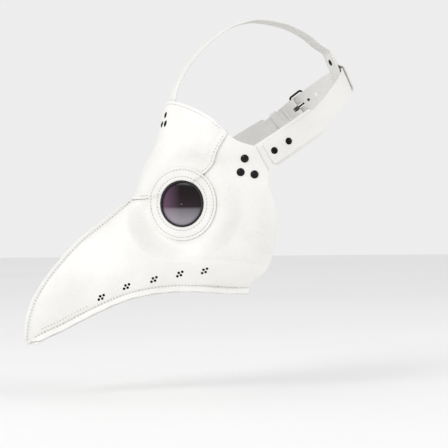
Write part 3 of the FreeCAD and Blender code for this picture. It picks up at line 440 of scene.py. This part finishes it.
def face_outwards(piece, outward):
    """Drop loose points and turn a sheet's faces to look the way that outward points."""
    mesh = bmesh.new()
    mesh.from_mesh(piece.data)
    bmesh.ops.delete(mesh, geom=[v for v in mesh.verts if not v.link_faces], context="VERTS")
    bmesh.ops.recalc_face_normals(mesh, faces=mesh.faces)
    if sum((face.normal.dot(Vector(outward)) for face in mesh.faces), 0.0) < 0:
        bmesh.ops.reverse_faces(mesh, faces=mesh.faces)
    mesh.to_mesh(piece.data)
    mesh.free()


def recalculate(piece, merge=None):
    """Outward faces for a closed piece, with coincident points merged first if asked."""
    mesh = bmesh.new()
    mesh.from_mesh(piece.data)
    if merge is not None:
        bmesh.ops.remove_doubles(mesh, verts=mesh.verts, dist=merge)
    bmesh.ops.recalc_face_normals(mesh, faces=mesh.faces)
    mesh.to_mesh(piece.data)
    mesh.free()


def thicken(piece, thickness, edge=0.15):
    """Give a sheet its thickness inwards, with softened cut edges."""
    solid = piece.modifiers.new("thickness", "SOLIDIFY")
    solid.thickness = thickness * MM
    solid.offset = -1
    solid.use_even_offset = False
    solid.material_offset = 1
    piece.data.materials.append(SHELL)
    piece.data.materials.append(SHADE_LINING)
    bevel = piece.modifiers.new("edges", "BEVEL")
    bevel.width = edge * MM
    bevel.segments = 2
    bevel.limit_method = "ANGLE"
    bevel.angle_limit = math.radians(55)
    apply_modifiers(piece)


def join(name, pieces):
    """One mesh from several, with each face's own place in the list of materials."""
    vertices, faces, places = [], [], []
    for piece in pieces:
        start = len(vertices)
        vertices += [vertex.co / MM for vertex in piece.data.vertices]
        faces += [tuple(start + index for index in face.vertices) for face in piece.data.polygons]
        places += [face.material_index for face in piece.data.polygons]
        bpy.data.objects.remove(piece)
    whole = make_mesh(name, vertices, faces)
    for material in (SHELL, SHADE_LINING):
        whole.data.materials.append(material)
    whole.data.polygons.foreach_set("material_index", places)
    return whole


def mirror_copy(piece, name):
    mesh = piece.data.copy()
    mesh.name = name
    mesh.transform(Matrix.Scale(-1, 4, Vector((1, 0, 0))))
    mesh.flip_normals()
    copy = bpy.data.objects.new(name, mesh)
    bpy.context.scene.collection.objects.link(copy)
    return copy


def swept(name, rings, closed=False):
    """Solid through rings of points, capped at its ends."""
    rings = np.asarray(rings)
    count, around = rings.shape[:2]
    if closed:
        rings = np.concatenate([rings, rings[:1]])
    faces = grid_faces(len(rings), around, wrap=True)
    if not closed:
        faces += [tuple(range(around)), tuple(range((count - 1) * around, count * around))[::-1]]
    piece = make_mesh(name, rings.reshape(-1, 3), faces)
    recalculate(piece, merge=1e-6)
    piece.data.shade_smooth()
    return piece


def soft_box(half_width, half_height, corner, steps=3):
    """Rounded rectangle as (across, up) pairs."""
    points = []
    for sx, sy, start in ((1, 1, 0), (-1, 1, 90), (-1, -1, 180), (1, -1, 270)):
        for step in range(steps + 1):
            angle = math.radians(start + 90 * step / steps)
            points.append((sx * (half_width - corner) + corner * math.cos(angle),
                           sy * (half_height - corner) + corner * math.sin(angle)))
    return np.array(points)


def stitches(name, centres, tangents, normals, length=2.7, radius=0.36):
    """Row of separate thread stitches that dip into the leather at both ends."""
    vertices, faces = [], []
    around = 6
    spots = np.linspace(-1, 1, 7)
    for centre, tangent, normal in zip(centres, unit(np.asarray(tangents)), unit(np.asarray(normals))):
        side = np.cross(normal, tangent)
        start = len(vertices)
        for spot in spots:
            lift = radius * (0.75 - 1.9 * spot ** 4)
            thick = radius * (1 - 0.35 * spot ** 2)
            middle = centre + tangent * (spot * length / 2) + normal * lift
            for turn in range(around):
                angle = 2 * math.pi * turn / around
                vertices.append(middle + side * (thick * math.cos(angle))
                                + normal * (thick * math.sin(angle)))
        faces += grid_faces(len(spots), around, start, wrap=True)
        faces.append(tuple(range(start, start + around))[::-1])
        faces.append(tuple(range(start + 6 * around, start + 7 * around)))
    return make_mesh(name, vertices, faces)


def stitch_row(name, line, normal_at, pitch=STITCH_PITCH, **shape):
    """Stitches along a 3-D line; normal_at gives the leather's outward axis at each point."""
    count = max(2, int(round(length_of(line) / pitch)))
    even = spaced(line, 2 * count + 1)
    centres = even[1::2]
    tangents = even[2::2] - even[:-1:2]
    return stitches(name, centres, tangents, normal_at(centres), **shape)


# ---------------------------------------------------------------- wear: soft waves and puckers

def waves(points, amount):
    x, y, z = (points[..., axis] for axis in range(3))
    slow = np.sin(0.071 * y + 0.043 * z + 1.3) * np.sin(0.052 * z - 0.028 * y + 0.4 + 0.02 * x)
    quick = np.sin(0.19 * y - 0.13 * z + 0.7 + 0.05 * x) * np.sin(0.16 * z + 0.11 * y + 2.1)
    return amount * (0.75 * slow + 0.25 * quick)


def pucker(points, line, inset, depth, width=1.5, reach=4.0):
    """Leather drawn down along a stitch line, a little more at each hole."""
    gap, along = nearest(points, line)
    groove = np.exp(-((gap - inset) / width) ** 2)
    ripple = np.exp(-((gap - inset) / reach) ** 2) * np.cos(2 * math.pi * along / STITCH_PITCH)
    return -depth * groove * 0.8 - depth * 0.35 * ripple


def side_shift(y, z):
    """Height of a side panel's outer face over the plain form."""
    flat = np.stack([y, z], -1)
    plain = side_points(y, z)
    calm = ease(EYE_FLAT - 2, EYE_FLAT + 14, eye_reach(plain))
    near_tab = ease(-48, -28, y) * ease(-55, -30, z)
    shift = waves(plain, 0.55) * calm * (1 - near_tab)
    shift = shift + pucker(flat, RIDGE, 0.6, 0.45, 2.0)
    shift = shift + pucker(flat, SEAM, 2.4, 0.45)
    crease, _ = nearest(flat, curve(CHEEK_CREASE, 160))
    shift = shift - 0.55 * np.exp(-(crease / 3.0) ** 2) * ease(-112, -70, y)
    edge, _ = nearest(flat, np.concatenate([REAR, TOP_REAR]))
    return shift + 0.35 * ease(9, 0, edge)


# ---------------------------------------------------------------- side panels

def matched(line, marks, places):
    """Point of a line for each place; marks are (place, nearest point) pairs."""
    run = run_along(line)
    at = [run[np.linalg.norm(line - np.array(mark), axis=1).argmin()] for _, mark in marks]
    where = smooth([(place, value) for (place, _), value in zip(marks, at)], places)
    return np.stack([np.interp(where, run, line[:, axis]) for axis in (0, 1)], -1)


FRONT_LINE = np.concatenate([RIDGE, HIDDEN, curve([HIDDEN_EDGE[-1], TOP_REAR_EDGE[-1]], 30)])
BACK_LINE = np.concatenate([SEAM, REAR, TOP_REAR])
FRONT_MARKS = [(0, RIDGE[0]), (0.3, (-176, -91)), (0.45, (-148.4, -70)), (0.56, (-121, -47.5)),
               (0.66, (-100, -31)), (0.75, (-80, -19)), (0.84, (-66, -8)), (0.88, (-61, -2)),
               (0.92, (-55, 8)), (0.95, (-51.5, 15)), (0.98, (-47.8, 24.5)), (1, TOP_REAR_EDGE[-1])]
BACK_MARKS = [(0, SEAM[0]), (0.3, (-154, -158.5)), (0.45, (-103, -144)), (0.56, (-55, -143)),
              (0.66, (-8, -144.6)), (0.75, (15.5, -92)), (0.84, (7, -37)), (0.88, (5.8, -17.6)),
              (0.92, (-9.5, 9.3)), (0.95, (-18.7, 11.7)), (0.98, (-28.9, 15.5)), (1, TOP_REAR_EDGE[-1])]


def side_sheet():
    rows, columns = 330, 130
    places = np.linspace(0, 1, rows)
    front = matched(FRONT_LINE, FRONT_MARKS, places)
    back = matched(BACK_LINE, BACK_MARKS, places)
    share = np.linspace(0, 1, columns)
    share = 0.5 - 0.5 * np.cos(math.pi * share)
    share = 0.35 * share + 0.65 * np.linspace(0, 1, columns)
    flat = front[:, None] * (1 - share[None, :, None]) + back[:, None] * share[None, :, None]
    y, z = flat[..., 0], flat[..., 1]
    plain = side_points(y, z)
    outer = plain + side_normals(y, z) * (LEATHER + side_shift(y, z))[..., None]
    # At the ridge the sheet turns into the flange, so it stays beside the mirror plane.
    outer[..., 0] = np.maximum(outer[..., 0], SEAM_GAP + LEATHER)
    far = eye_reach(plain) > EYE_OPENING
    keep = [face for face in grid_faces(rows, columns) if all(far.reshape(-1)[index] for index in face)]
    sheet = make_mesh("sheet", outer.reshape(-1, 3), keep)
    clean(sheet)
    face_outwards(sheet, (1, 0, 0))
    thicken(sheet, LEATHER)
    return sheet


def vent_cutter():
    """Punches for the vents of one side: four round holes each."""
    vertices, faces = [], []
    around = 16
    for y, z in VENTS:
        for along in (-VENT_HALF_ALONG, VENT_HALF_ALONG):
            for across in (-VENT_HALF_ACROSS, VENT_HALF_ACROSS):
                lean = along + VENT_LEAN * across
                hole_y = y + lean * math.cos(VENT_SLOPE) - across * math.sin(VENT_SLOPE)
                hole_z = z + lean * math.sin(VENT_SLOPE) + across * math.cos(VENT_SLOPE)
                point, axis = side_points(hole_y, hole_z), side_normals(hole_y, hole_z)
                side = unit(np.cross(axis, [0, 0, 1.0]))
                up = np.cross(side, axis)
                start = len(vertices)
                for height in (-4, 6):
                    for turn in range(around):
                        angle = 2 * math.pi * turn / around
                        spoke = side * math.cos(angle) + up * math.sin(angle)
                        vertices.append(point + axis * height + VENT_RADIUS * spoke)
                faces += grid_faces(2, around, start, wrap=True)
                faces += [tuple(range(start, start + around)),
                          tuple(range(start + around, start + 2 * around))[::-1]]
    cutter = make_mesh("vent_cutter", vertices, faces, shade=False)
    recalculate(cutter)
    return cutter


def punch(piece, cutter):
    cut = piece.modifiers.new("vents", "BOOLEAN")
    cut.operation = "DIFFERENCE"
    cut.solver = "EXACT"
    cut.object = cutter
    apply_modifiers(piece)
    bpy.data.objects.remove(cutter)


def ridge_flange():
    """Raw edge that stands up along the ridge, slightly wavy from being stitched."""
    z = np.linspace(-203.2, -51, 160)
    y = smooth(PROFILE, z)
    slope = (smooth(PROFILE, z + 1) - smooth(PROFILE, z - 1)) / 2
    out = unit(np.stack([np.zeros_like(z), -np.ones_like(z), slope], -1))
    run = np.concatenate([[0], np.cumsum(np.hypot(np.diff(y), np.diff(z)))])
    wide = FLANGE_WIDTH + 0.22 * np.sin(0.31 * run) + 0.15 * np.sin(1.13 * run + 1) - 0.2
    wide = wide * ease(-4, 6, run) * (0.25 + 0.75 * ease(run[-1], run[-1] - 9, run))
    pinch = 0.12 * np.cos(2 * math.pi * run / STITCH_PITCH)
    rings = []
    for index in range(len(z)):
        half = (wide[index] + 1.6) / 2
        base = np.array([SEAM_GAP + LEATHER / 2, y[index], z[index]])
        shape = soft_box(half, LEATHER / 2, 0.45)
        middle = base + out[index] * (half - 1.6)
        thin = 1 - 0.35 * np.exp(-((shape[:, 0] + half - 3.4) / 1.6) ** 2) - pinch[index]
        rings.append(middle + shape[:, :1] * out[index] + X_AXIS * (shape[:, 1] * thin)[:, None])
    return swept("ridge_flange", rings)


def seam_frames(points):
    """Place, run and inward axis of the lower flanges at points of the lower seam."""
    y, z = points[:, 0], points[:, 1]
    here = side_points(y, z)
    tangent = unit(np.gradient(here, axis=0))
    up = side_points(y, z + 4) - here
    down = unit(tangent * (up * tangent).sum(-1, keepdims=True) - up)
    outward = unit(X_AXIS - tangent * tangent[:, :1])
    run = unit(down + outward * 0.45)
    normal = unit(np.cross(tangent, run))
    return here, run, np.where(normal[:, :1] > 0, -1, 1) * normal


def lower_flange(low, name):
    line = spaced(SEAM, 200)
    here, run, inward = seam_frames(line)
    keep = line[:, 0] > -234.5
    here, run, inward = here[keep], run[keep], inward[keep]
    distance = run_along(here)
    wide = FLANGE_WIDTH + 0.2 * np.sin(0.27 * distance + low) + 0.14 * np.sin(1.21 * distance + 2 + low) - 0.2
    wide = wide * (0.35 + 0.65 * ease(0, 10, distance))
    pinch = 0.12 * np.cos(2 * math.pi * distance / STITCH_PITCH)
    rings = []
    for index in range(len(here)):
        half = (wide[index] + 0.4) / 2
        shape = soft_box(half, LEATHER / 2, 0.45)
        middle = here[index] + run[index] * (half - 0.4) + inward[index] * (low + LEATHER / 2)
        thin = 1 - 0.35 * np.exp(-((shape[:, 0] + half - 2.6) / 1.4) ** 2) - pinch[index]
        rings.append(middle + shape[:, :1] * run[index] + inward[index] * (shape[:, 1] * thin)[:, None])
    return swept(name, rings)


def side_panel():
    panel = side_sheet()
    punch(panel, vent_cutter())
    flanges = [ridge_flange(), lower_flange(-SEAM_GAP - LEATHER, "outer_flange")]
    return join("left_side_leather", [panel] + flanges)


# ---------------------------------------------------------------- forehead and underside

def brow_grid():
    rows, columns = 240, 90
    x = 76.4 * np.sin(np.linspace(-math.pi / 2, math.pi / 2, rows))
    low, high = smooth(BROW_SEAM, np.abs(x)), smooth(BROW_TOP_EDGE, np.abs(x))
    share = np.linspace(0, 1, columns)
    z = low[:, None] * (1 - share) + high[:, None] * share
    return np.repeat(x[:, None], columns, 1), z


def brow_panel():
    x, z = brow_grid()
    plain = brow_points(x, z)
    flat = np.stack([np.abs(x), z], -1)
    seam_line = np.stack([np.linspace(0, 76.4, 300), smooth(BROW_SEAM, np.linspace(0, 76.4, 300))], -1)
    top_line = np.stack([np.linspace(0, 76.4, 300), smooth(BROW_TOP_EDGE, np.linspace(0, 76.4, 300))], -1)
    calm = ease(EYE_FLAT - 2, EYE_FLAT + 12, eye_reach(plain))
    shift = waves(plain, 0.4) * calm + pucker(flat, seam_line, 3.2, 0.3) + pucker(flat, top_line, 3.2, 0.25)
    outer = plain + brow_normals(x, z) * (2 * LEATHER + BROW_GAP + shift)[..., None]
    far = (eye_reach(plain) > EYE_OPENING).reshape(-1)
    keep = [face for face in grid_faces(*x.shape) if all(far[index] for index in face)]
    sheet = make_mesh("forehead_leather", outer.reshape(-1, 3), keep)
    clean(sheet)
    face_outwards(sheet, (0, -1, 0))
    thicken(sheet, LEATHER)
    return sheet


# ---------------------------------------------------------------- eye rings

def over_brow(points):
    """1 where the forehead panel lies under a point of an eye ring, 0 where only the side panel does."""
    return ease(-3.5, 1.5, points[..., 2] - smooth(BROW_SEAM, np.abs(points[..., 0])))


def ring_height(radius, angle):
    """Height of the ring's top face over the inner face of the shell."""
    across = np.cross(Z_AXIS, EYE_AXIS)
    radius, angle = np.broadcast_arrays(radius, angle)
    level, height = (radius * np.cos(angle))[..., None], (radius * np.sin(angle))[..., None]
    points = EYE_CENTRE + level * across + height * Z_AXIS
    return 4.05 + 1.95 * over_brow(points), points


def ring_dips(radius, angle):
    dips = 0
    for row, depth in ((RING_OUTER_ROW, 0.4), (RING_INNER_ROW, 0.32)):
        count = round(2 * math.pi * row / STITCH_PITCH)
        near = np.exp(-((radius - row) / 1.2) ** 2)
        wide = np.exp(-((radius - row) / 2.6) ** 2)
        dips = dips - depth * near * 0.75 - depth * 0.3 * wide * np.cos(count * angle)
    return dips


def eye_ring():
    angles = np.linspace(0, 2 * math.pi, 420, endpoint=False)
    edge = 0.8
    radii = np.concatenate([RING_INNER + edge * (1 - np.cos(np.linspace(0, math.pi / 2, 5))),
                            np.linspace(RING_INNER + edge, RING_OUTER - edge, 34)[1:-1],
                            RING_OUTER - edge * (1 - np.sin(np.linspace(0, math.pi / 2, 6)))])
    drops = np.concatenate([edge * (1 - np.sin(np.linspace(0, math.pi / 2, 5))), np.zeros(32),
                            edge * (1 - np.cos(np.linspace(0, math.pi / 2, 6)))])
    rings = []
    for angle in angles:
        top, points = ring_height(radii, np.full_like(radii, angle))
        wobble = 0.10 * math.sin(3 * angle + 1) + 0.08 * math.sin(7 * angle)
        rise = top - drops + ring_dips(radii, angle) + wobble * ease(30, 39, radii)
        upper = points + rise[:, None] * EYE_AXIS
        low_height, low_points = ring_height(radii[[-1, 0]], np.array([angle, angle]))
        lower = low_points + (low_height - 2.0)[:, None] * EYE_AXIS
        rings.append(np.concatenate([upper, lower]))
    return swept("left_eye_ring_leather", rings, closed=True)


def ring_stitches(row):
    count = round(2 * math.pi * row / STITCH_PITCH)
    angles = (np.arange(count) + 0.5) * 2 * math.pi / count
    top, points = ring_height(row, angles)
    centres = points + (top - 0.3)[:, None] * EYE_AXIS
    across = np.cross(Z_AXIS, EYE_AXIS)
    tangents = -np.sin(angles)[:, None] * across + np.cos(angles)[:, None] * Z_AXIS
    return stitches("ring_row", centres, tangents, np.repeat(EYE_AXIS[None], count, 0))


def dress(piece, material):
    """Outer material first; a lined piece keeps its lining in second place."""
    if len(piece.data.materials) > 1 and material == SHELL:
        piece.data.materials[0] = material
    else:
        piece.data.polygons.foreach_set("material_index", [0] * len(piece.data.polygons))
        piece.data.materials.clear()
        piece.data.materials.append(material)
    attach(piece, "mask")
    return piece


def with_twin(piece, material, replaced=None):
    name = piece.name
    twin = mirror_copy(piece, name.replace("left", "right"))
    for one, side in ((piece, "left"), (twin, "right")):
        dress(one, material)
        if replaced:
            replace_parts(one, side + replaced)


# ---------------------------------------------------------------- crown strap

CROWN = [(-75.2, 74), (-69, 88), (-61, 101), (-51, 114), (-33, 131.5),
         (-8, 148.5), (23.5, 156.5), (53, 153), (78, 143.5), (98, 130)]
BACK_MIDDLE = np.array([127.755, 94.917])
BACK_OUT, BACK_UP = np.array([0.9056, 0.4241]), np.array([-0.4241, 0.9056])
STRAP_HALF_WIDTH = 12.5
LOOP_FRONT, LOOP_BACK, LOOP_LOW = 5.6, 2.15, 13.7


def crown_line():
    """Centre line of the crown strap as (y, z): over the head, round the back strap and up to its lap."""
    points = [(float(smooth(PROFILE, z)) + 0.3, z) for z in (31, 45, 58)] + CROWN
    points += [BACK_MIDDLE - BACK_OUT * LOOP_FRONT + BACK_UP * height
               for height in (34.5, 26.5, 18.5, 0, -9.5, -LOOP_LOW)]
    centre, radius = (LOOP_BACK - LOOP_FRONT) / 2, (LOOP_BACK + LOOP_FRONT) / 2
    for angle in np.radians([45, 90, 135]):
        along = centre - radius * math.cos(angle)
        points.append(BACK_MIDDLE + BACK_OUT * along - BACK_UP * (LOOP_LOW + radius * math.sin(angle)))
    points += [BACK_MIDDLE + BACK_OUT * LOOP_BACK + BACK_UP * height for height in (-LOOP_LOW, -9.5, 0, 13)]
    points += [BACK_MIDDLE - BACK_OUT * (LOOP_FRONT - LEATHER - LAYER_GAP) + BACK_UP * height
               for height in (18.5, 22.5, 27.5)]
    return curve(points, 420)


def crown_strap():
    line = crown_line()
    tangent = unit(np.gradient(line, axis=0))
    shape = soft_box(STRAP_HALF_WIDTH, LEATHER / 2, 0.5)
    run = np.linspace(0, length_of(line), len(line))
    rings = []
    for index, (y, z) in enumerate(line):
        out = np.array([0, tangent[index, 1], -tangent[index, 0]])
        slack = 0.12 * math.sin(0.09 * run[index]) + 0.08 * math.sin(0.31 * run[index] + 1)
        width = 1 + 0.004 * math.sin(0.07 * run[index])
        middle = np.array([slack, y, z])
        rings.append(middle + shape[:, :1] * width * X_AXIS + shape[:, 1:] * out)
    return swept("crown_strap_leather", rings)


# ---------------------------------------------------------------- assembly

with_twin(side_panel(), SHELL, "_side_panel")
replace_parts(dress(brow_panel(), SHELL), "forehead_panel")
with_twin(eye_ring(), RING, "_eye_ring")
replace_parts(dress(crown_strap(), STRAP), "crown_strap")


def side_line(flat, height):
    return side_points(flat[:, 0], flat[:, 1]) + side_normals(flat[:, 0], flat[:, 1]) * height


def side_outward(centres):
    return side_normals(centres[:, 1], centres[:, 2])


def inset_line(line, distance):
    """A (y, z) line moved sideways in side view."""
    tangent = unit(np.gradient(line, axis=0))
    return line + np.stack([-tangent[:, 1], tangent[:, 0]], -1) * distance


def left_rows():
    seam_inside = inset_line(spaced(SEAM, 300), 2.4)
    seam_inside = seam_inside[seam_inside[:, 0] > -232]
    tip_double = inset_line(spaced(SEAM, 300), 6.6)
    tip_double = tip_double[(tip_double[:, 0] > -226) & (tip_double[:, 0] < -176)]
    rows = [stitch_row("row", side_line(line, LEATHER - 0.25), side_outward)
            for line in (seam_inside, tip_double)]
    ridge = RIDGE[(RIDGE[:, 1] > -200) & (RIDGE[:, 1] < -50)]
    slope = (smooth(PROFILE, ridge[:, 1] + 1) - smooth(PROFILE, ridge[:, 1] - 1)) / 2
    out = unit(np.stack([np.zeros(len(ridge)), -np.ones(len(ridge)), slope], -1))
    line = np.concatenate([np.full((len(ridge), 1), SEAM_GAP + LEATHER - 0.1), ridge], -1) + out * 1.7
    rows.append(stitch_row("row", line, lambda centres: np.repeat([X_AXIS], len(centres), 0)))
    x = np.linspace(6, 74.5, 200)
    z = smooth(BROW_SEAM, x) + 3.2
    brow = brow_points(x, z) + brow_normals(x, z) * (2 * LEATHER + BROW_GAP - 0.2)
    far = eye_reach(brow) > 41
    outer, inner = brow[far & (x > 45)], brow[far & (x < 45)]

    def brow_outward(centres):
        return brow_normals(centres[:, 0], centres[:, 2])

    rows += [stitch_row("row", line, brow_outward) for line in (outer, inner) if len(line) > 6]
    x = np.linspace(0, 73.5, 200)
    z = smooth(BROW_TOP_EDGE, x) - 3.2
    top = brow_points(x, z) + brow_normals(x, z) * (2 * LEATHER + BROW_GAP - 0.2)
    rows.append(stitch_row("row", top, brow_outward))
    return join("left_shell_stitches", rows)


with_twin(left_rows(), THREAD)
ring_rows = [ring_stitches(row) for row in (RING_OUTER_ROW, RING_INNER_ROW)]
with_twin(join("left_ring_stitches", ring_rows), THREAD)

FINISHES = {
    "underside_panel": SHELL, "left_side_tab": SHELL, "right_side_tab": SHELL,
    "left_lens_backing_ring": RING, "right_lens_backing_ring": RING,
    "back_strap": STRAP, "buckle_strap": STRAP, "keeper_loop": STRAP,
    "left_lens": LENS, "right_lens": LENS, "left_lens_rim": RUBBER, "right_lens_rim": RUBBER,
    "left_tab_rivets": LACQUER, "right_tab_rivets": LACQUER, "left_strap_rivets": MATT_BLACK,
    "right_strap_rivets": MATT_BLACK, "crown_strap_rivets": MATT_BLACK, "crown_loop_rivet": MATT_BLACK,
    "buckle_frame": BLACK_METAL, "buckle_prong": BLACK_METAL,
}
for node in [one for one in bpy.context.scene.objects if one.get("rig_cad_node") is not None]:
    finish = FINISHES.get(node.name)
    if finish is not None and node.type == "MESH":
        node.data.materials.clear()
        node.data.materials.append(finish)

# ---------------------------------------------------------------- floor, light and camera

FLOOR_HALF, FLOOR_LEVEL = 6, -0.262
floor_mesh = bpy.data.meshes.new("floor")
floor_mesh.from_pydata([(x * FLOOR_HALF, y * FLOOR_HALF, FLOOR_LEVEL)
                        for x, y in ((-1, -1), (1, -1), (1, 1), (-1, 1))], [], [(0, 1, 2, 3)])
floor = bpy.data.objects.new("floor", floor_mesh)
bpy.context.scene.collection.objects.link(floor)
pale, pale_nodes, pale_links, pale_shader, pale_place = node_material("pale_floor")
pale_tone = ramp(pale_nodes, pale_links, noise(pale_nodes, pale_links, pale_place, 2),
                 [(0.3, grey(0.86)), (0.7, grey(0.88))])
pale_links.new(pale_tone, pale_shader.inputs["Base Color"])
pale_shader.inputs["Roughness"].default_value = 0.9
floor_mesh.materials.append(pale)

world = bpy.data.worlds.new("studio")
world.use_nodes = True
world.node_tree.nodes["Background"].inputs["Color"].default_value = (1, 1, 1, 1)
world.node_tree.nodes["Background"].inputs["Strength"].default_value = 0.85
bpy.context.scene.world = world

TARGET = Vector((0, -0.017, -0.074))
CAMERA_TURN, CAMERA_DISTANCE = math.radians(72), 1.5


def area_light(name, place, power, width):
    light = bpy.data.lights.new(name, "AREA")
    light.energy = power
    light.shape = "RECTANGLE"
    light.size = light.size_y = width
    lamp = bpy.data.objects.new(name, light)
    lamp.location = place
    lamp.rotation_euler = (TARGET - lamp.location).to_track_quat("-Z", "Y").to_euler()
    bpy.context.scene.collection.objects.link(lamp)
    return lamp


area_light("key_light", (1.1, -1.9, 1.2), 19, 0.9)
area_light("rear_light", (0.6, 1.6, 1.3), 7, 1.0)

camera_data = bpy.data.cameras.new("camera")
camera_data.lens = 107
camera_data.sensor_width = 36
camera = bpy.data.objects.new("camera", camera_data)
camera.location = TARGET + CAMERA_DISTANCE * Vector((math.sin(CAMERA_TURN), -math.cos(CAMERA_TURN), 0))
camera.rotation_euler = (TARGET - camera.location).to_track_quat("-Z", "Y").to_euler()
bpy.context.scene.collection.objects.link(camera)
bpy.context.scene.camera = camera
bpy.context.scene.view_settings.view_transform = "Standard"
